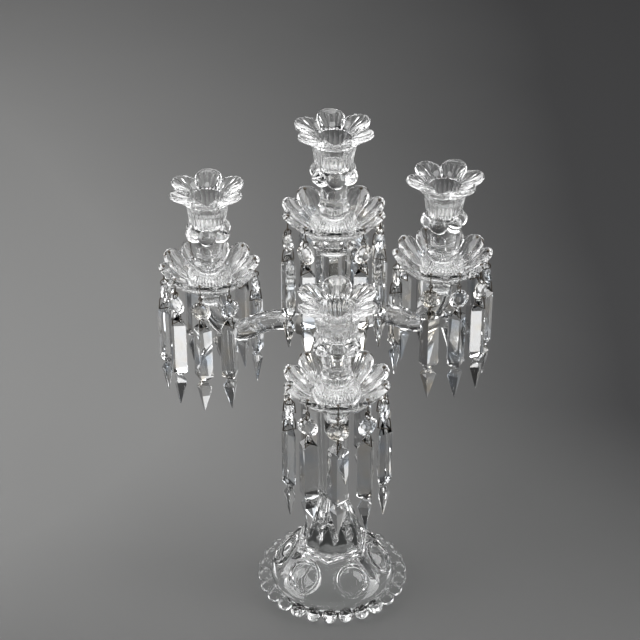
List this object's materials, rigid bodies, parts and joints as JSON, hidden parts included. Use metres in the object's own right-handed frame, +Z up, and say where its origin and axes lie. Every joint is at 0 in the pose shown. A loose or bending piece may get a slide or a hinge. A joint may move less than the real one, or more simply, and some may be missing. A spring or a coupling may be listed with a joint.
{
  "type": "girandole candle holder",
  "caption": "Crystal table girandole: beaded foot, fluted stem, swan-neck arms and a raised centre light, with petalled drip pans, flower candle nozzles and swinging cut pendants.",
  "frame": {"origin": "middle of the ring that the foot rests on, at table level", "axes": "+Z up along the stem, -Y towards the front light, +X to the right seen from the front"},
  "size_m": [0.3195, 0.3062, 0.5099],
  "materials": {
    "crystal": "clear polished lead crystal",
    "silvered": "polished silver plate",
    "steel": "turned steel",
    "wire": "darkened silvered wire"
  },
  "bodies": {
    "root": {"foot": "crystal", "stem": "crystal", "stem_ferrule": "silvered", "hub": "silvered", "hub_rod": "steel", "column_ferrule": "silvered", "upper_column": "crystal", "arm_front": "crystal", "arm_right": "crystal", "arm_left": "crystal", "arm_ferrules": "silvered"},
    "bobeche_centre": {"bobeche_centre": "crystal", "hooks_centre": "wire"},
    "nozzle_centre": {"nozzle_centre": "crystal"},
    "pendant_centre_1": {"pendant_centre_1": "crystal"},
    "pendant_centre_2": {"pendant_centre_2": "crystal"},
    "pendant_centre_3": {"pendant_centre_3": "crystal"},
    "pendant_centre_4": {"pendant_centre_4": "crystal"},
    "pendant_centre_5": {"pendant_centre_5": "crystal"},
    "pendant_centre_6": {"pendant_centre_6": "crystal"},
    "pendant_centre_7": {"pendant_centre_7": "crystal"},
    "pendant_centre_8": {"pendant_centre_8": "crystal"},
    "bobeche_front": {"bobeche_front": "crystal", "hooks_front": "wire"},
    "nozzle_front": {"nozzle_front": "crystal"},
    "pendant_front_1": {"pendant_front_1": "crystal"},
    "pendant_front_2": {"pendant_front_2": "crystal"},
    "pendant_front_3": {"pendant_front_3": "crystal"},
    "pendant_front_4": {"pendant_front_4": "crystal"},
    "pendant_front_5": {"pendant_front_5": "crystal"},
    "pendant_front_6": {"pendant_front_6": "crystal"},
    "pendant_front_7": {"pendant_front_7": "crystal"},
    "pendant_front_8": {"pendant_front_8": "crystal"},
    "pendant_front_9": {"pendant_front_9": "crystal"},
    "bobeche_right": {"bobeche_right": "crystal", "hooks_right": "wire"},
    "nozzle_right": {"nozzle_right": "crystal"},
    "pendant_right_1": {"pendant_right_1": "crystal"},
    "pendant_right_2": {"pendant_right_2": "crystal"},
    "pendant_right_3": {"pendant_right_3": "crystal"},
    "pendant_right_4": {"pendant_right_4": "crystal"},
    "pendant_right_5": {"pendant_right_5": "crystal"},
    "pendant_right_6": {"pendant_right_6": "crystal"},
    "pendant_right_7": {"pendant_right_7": "crystal"},
    "pendant_right_8": {"pendant_right_8": "crystal"},
    "pendant_right_9": {"pendant_right_9": "crystal"},
    "bobeche_left": {"bobeche_left": "crystal", "hooks_left": "wire"},
    "nozzle_left": {"nozzle_left": "crystal"},
    "pendant_left_1": {"pendant_left_1": "crystal"},
    "pendant_left_2": {"pendant_left_2": "crystal"},
    "pendant_left_3": {"pendant_left_3": "crystal"},
    "pendant_left_4": {"pendant_left_4": "crystal"},
    "pendant_left_5": {"pendant_left_5": "crystal"},
    "pendant_left_6": {"pendant_left_6": "crystal"},
    "pendant_left_7": {"pendant_left_7": "crystal"},
    "pendant_left_8": {"pendant_left_8": "crystal"},
    "pendant_left_9": {"pendant_left_9": "crystal"}
  },
  "joints": [
    {"name": "bobeche_centre_lift", "type": "slide", "parent": "root", "child": "bobeche_centre", "axis": [0, 0, 1], "range_m": [0, 0.025]},
    {"name": "nozzle_centre_lift", "type": "slide", "parent": "bobeche_centre", "child": "nozzle_centre", "axis": [0, 0, 1], "range_m": [0, 0.04]},
    {"name": "pendant_centre_1_swing", "type": "hinge", "parent": "bobeche_centre", "child": "pendant_centre_1", "pos_m": [0.02618, -0.03474, 0.4137], "axis": [-0.7986, -0.6018, 0], "range_deg": [-2, 12]},
    {"name": "pendant_centre_2_swing", "type": "hinge", "parent": "bobeche_centre", "child": "pendant_centre_2", "pos_m": [0.0416, -0.01272, 0.4137], "axis": [-0.2924, -0.9563, 0], "range_deg": [-2, 12]},
    {"name": "pendant_centre_3_swing", "type": "hinge", "parent": "bobeche_centre", "child": "pendant_centre_3", "pos_m": [0.04113, 0.01416, 0.4137], "axis": [0.3256, -0.9455, 0], "range_deg": [-2, 12]},
    {"name": "pendant_centre_4_swing", "type": "hinge", "parent": "bobeche_centre", "child": "pendant_centre_4", "pos_m": [0.02495, 0.03563, 0.4137], "axis": [0.8192, -0.5736, 0], "range_deg": [-2, 12]},
    {"name": "pendant_centre_5_swing", "type": "hinge", "parent": "bobeche_centre", "child": "pendant_centre_5", "pos_m": [-0.00076, 0.04349, 0.4137], "axis": [0.9998, 0.0175, 0], "range_deg": [-2, 12]},
    {"name": "pendant_centre_6_swing", "type": "hinge", "parent": "bobeche_centre", "child": "pendant_centre_6", "pos_m": [-0.02618, 0.03474, 0.4137], "axis": [0.7986, 0.6018, 0], "range_deg": [-2, 12]},
    {"name": "pendant_centre_7_swing", "type": "hinge", "parent": "bobeche_centre", "child": "pendant_centre_7", "pos_m": [-0.04113, -0.01416, 0.4137], "axis": [-0.3256, 0.9455, 0], "range_deg": [-2, 12]},
    {"name": "pendant_centre_8_swing", "type": "hinge", "parent": "bobeche_centre", "child": "pendant_centre_8", "pos_m": [-0.02495, -0.03563, 0.4137], "axis": [-0.8192, 0.5736, 0], "range_deg": [-2, 12]},
    {"name": "bobeche_front_lift", "type": "slide", "parent": "root", "child": "bobeche_front", "axis": [0, 0, 1], "range_m": [0, 0.025]},
    {"name": "nozzle_front_lift", "type": "slide", "parent": "bobeche_front", "child": "nozzle_front", "axis": [0, 0, 1], "range_m": [0, 0.04]},
    {"name": "pendant_front_1_swing", "type": "hinge", "parent": "bobeche_front", "child": "pendant_front_1", "pos_m": [-0.0239, -0.09574, 0.3207], "axis": [0.7986, 0.6018, 0], "range_deg": [-5, 12]},
    {"name": "pendant_front_2_swing", "type": "hinge", "parent": "bobeche_front", "child": "pendant_front_2", "pos_m": [-0.03932, -0.11776, 0.3207], "axis": [0.2924, 0.9563, 0], "range_deg": [-5, 12]},
    {"name": "pendant_front_3_swing", "type": "hinge", "parent": "bobeche_front", "child": "pendant_front_3", "pos_m": [-0.03885, -0.14464, 0.3207], "axis": [-0.3256, 0.9455, 0], "range_deg": [-5, 12]},
    {"name": "pendant_front_4_swing", "type": "hinge", "parent": "bobeche_front", "child": "pendant_front_4", "pos_m": [-0.02267, -0.16611, 0.3207], "axis": [-0.8192, 0.5736, 0], "range_deg": [-5, 12]},
    {"name": "pendant_front_5_swing", "type": "hinge", "parent": "bobeche_front", "child": "pendant_front_5", "pos_m": [0.00304, -0.17397, 0.3207], "axis": [-0.9998, -0.0175, 0], "range_deg": [-5, 12]},
    {"name": "pendant_front_6_swing", "type": "hinge", "parent": "bobeche_front", "child": "pendant_front_6", "pos_m": [0.02846, -0.16522, 0.3207], "axis": [-0.7986, -0.6018, 0], "range_deg": [-5, 12]},
    {"name": "pendant_front_7_swing", "type": "hinge", "parent": "bobeche_front", "child": "pendant_front_7", "pos_m": [0.04388, -0.1432, 0.3207], "axis": [-0.2924, -0.9563, 0], "range_deg": [-5, 12]},
    {"name": "pendant_front_8_swing", "type": "hinge", "parent": "bobeche_front", "child": "pendant_front_8", "pos_m": [0.04341, -0.11632, 0.3207], "axis": [0.3256, -0.9455, 0], "range_deg": [-5, 12]},
    {"name": "pendant_front_9_swing", "type": "hinge", "parent": "bobeche_front", "child": "pendant_front_9", "pos_m": [0.02723, -0.09485, 0.3207], "axis": [0.8192, -0.5736, 0], "range_deg": [-5, 12]},
    {"name": "bobeche_right_lift", "type": "slide", "parent": "root", "child": "bobeche_right", "axis": [0, 0, 1], "range_m": [0, 0.025]},
    {"name": "nozzle_right_lift", "type": "slide", "parent": "bobeche_right", "child": "nozzle_right", "axis": [0, 0, 1], "range_m": [0, 0.04]},
    {"name": "pendant_right_1_swing", "type": "hinge", "parent": "bobeche_right", "child": "pendant_right_1", "pos_m": [0.0915, 0.03694, 0.3207], "axis": [-0.9563, 0.2924, 0], "range_deg": [-5, 12]},
    {"name": "pendant_right_2_swing", "type": "hinge", "parent": "bobeche_right", "child": "pendant_right_2", "pos_m": [0.11838, 0.03741, 0.3207], "axis": [-0.9455, -0.3256, 0], "range_deg": [-5, 12]},
    {"name": "pendant_right_3_swing", "type": "hinge", "parent": "bobeche_right", "child": "pendant_right_3", "pos_m": [0.13986, 0.05359, 0.3207], "axis": [-0.5736, -0.8192, 0], "range_deg": [-5, 12]},
    {"name": "pendant_right_4_swing", "type": "hinge", "parent": "bobeche_right", "child": "pendant_right_4", "pos_m": [0.14772, 0.0793, 0.3207], "axis": [0.0175, -0.9998, 0], "range_deg": [-5, 12]},
    {"name": "pendant_right_5_swing", "type": "hinge", "parent": "bobeche_right", "child": "pendant_right_5", "pos_m": [0.13896, 0.10472, 0.3207], "axis": [0.6018, -0.7986, 0], "range_deg": [-5, 12]},
    {"name": "pendant_right_6_swing", "type": "hinge", "parent": "bobeche_right", "child": "pendant_right_6", "pos_m": [0.11694, 0.12014, 0.3207], "axis": [0.9563, -0.2924, 0], "range_deg": [-5, 12]},
    {"name": "pendant_right_7_swing", "type": "hinge", "parent": "bobeche_right", "child": "pendant_right_7", "pos_m": [0.09006, 0.11967, 0.3207], "axis": [0.9455, 0.3256, 0], "range_deg": [-5, 12]},
    {"name": "pendant_right_8_swing", "type": "hinge", "parent": "bobeche_right", "child": "pendant_right_8", "pos_m": [0.06859, 0.10349, 0.3207], "axis": [0.5736, 0.8192, 0], "range_deg": [-5, 12]},
    {"name": "pendant_right_9_swing", "type": "hinge", "parent": "bobeche_right", "child": "pendant_right_9", "pos_m": [0.06073, 0.07778, 0.3207], "axis": [-0.0175, 0.9998, 0], "range_deg": [-5, 12]},
    {"name": "bobeche_left_lift", "type": "slide", "parent": "root", "child": "bobeche_left", "axis": [0, 0, 1], "range_m": [0, 0.025]},
    {"name": "nozzle_left_lift", "type": "slide", "parent": "bobeche_left", "child": "nozzle_left", "axis": [0, 0, 1], "range_m": [0, 0.04]},
    {"name": "pendant_left_1_swing", "type": "hinge", "parent": "bobeche_left", "child": "pendant_left_1", "pos_m": [-0.07389, 0.06541, 0.3207], "axis": [0.165, -0.9863, 0], "range_deg": [-5, 12]},
    {"name": "pendant_left_2_swing", "type": "hinge", "parent": "bobeche_left", "child": "pendant_left_2", "pos_m": [-0.0863, 0.08926, 0.3207], "axis": [0.7133, -0.7009, 0], "range_deg": [-5, 12]},
    {"name": "pendant_left_3_swing", "type": "hinge", "parent": "bobeche_left", "child": "pendant_left_3", "pos_m": [-0.11036, 0.10125, 0.3207], "axis": [0.989, -0.1478, 0], "range_deg": [-5, 12]},
    {"name": "pendant_left_4_swing", "type": "hinge", "parent": "bobeche_left", "child": "pendant_left_4", "pos_m": [-0.13687, 0.09681, 0.3207], "axis": [0.887, 0.4617, 0], "range_deg": [-5, 12]},
    {"name": "pendant_left_5_swing", "type": "hinge", "parent": "bobeche_left", "child": "pendant_left_5", "pos_m": [-0.15572, 0.07764, 0.3207], "axis": [0.4462, 0.8949, 0], "range_deg": [-5, 12]},
    {"name": "pendant_left_6_swing", "type": "hinge", "parent": "bobeche_left", "child": "pendant_left_6", "pos_m": [-0.15969, 0.05105, 0.3207], "axis": [-0.165, 0.9863, 0], "range_deg": [-5, 12]},
    {"name": "pendant_left_7_swing", "type": "hinge", "parent": "bobeche_left", "child": "pendant_left_7", "pos_m": [-0.14728, 0.0272, 0.3207], "axis": [-0.7133, 0.7009, 0], "range_deg": [-5, 12]},
    {"name": "pendant_left_8_swing", "type": "hinge", "parent": "bobeche_left", "child": "pendant_left_8", "pos_m": [-0.12322, 0.01521, 0.3207], "axis": [-0.989, 0.1478, 0], "range_deg": [-5, 12]},
    {"name": "pendant_left_9_swing", "type": "hinge", "parent": "bobeche_left", "child": "pendant_left_9", "pos_m": [-0.0967, 0.01964, 0.3207], "axis": [-0.887, -0.4617, 0], "range_deg": [-5, 12]}
  ]
}
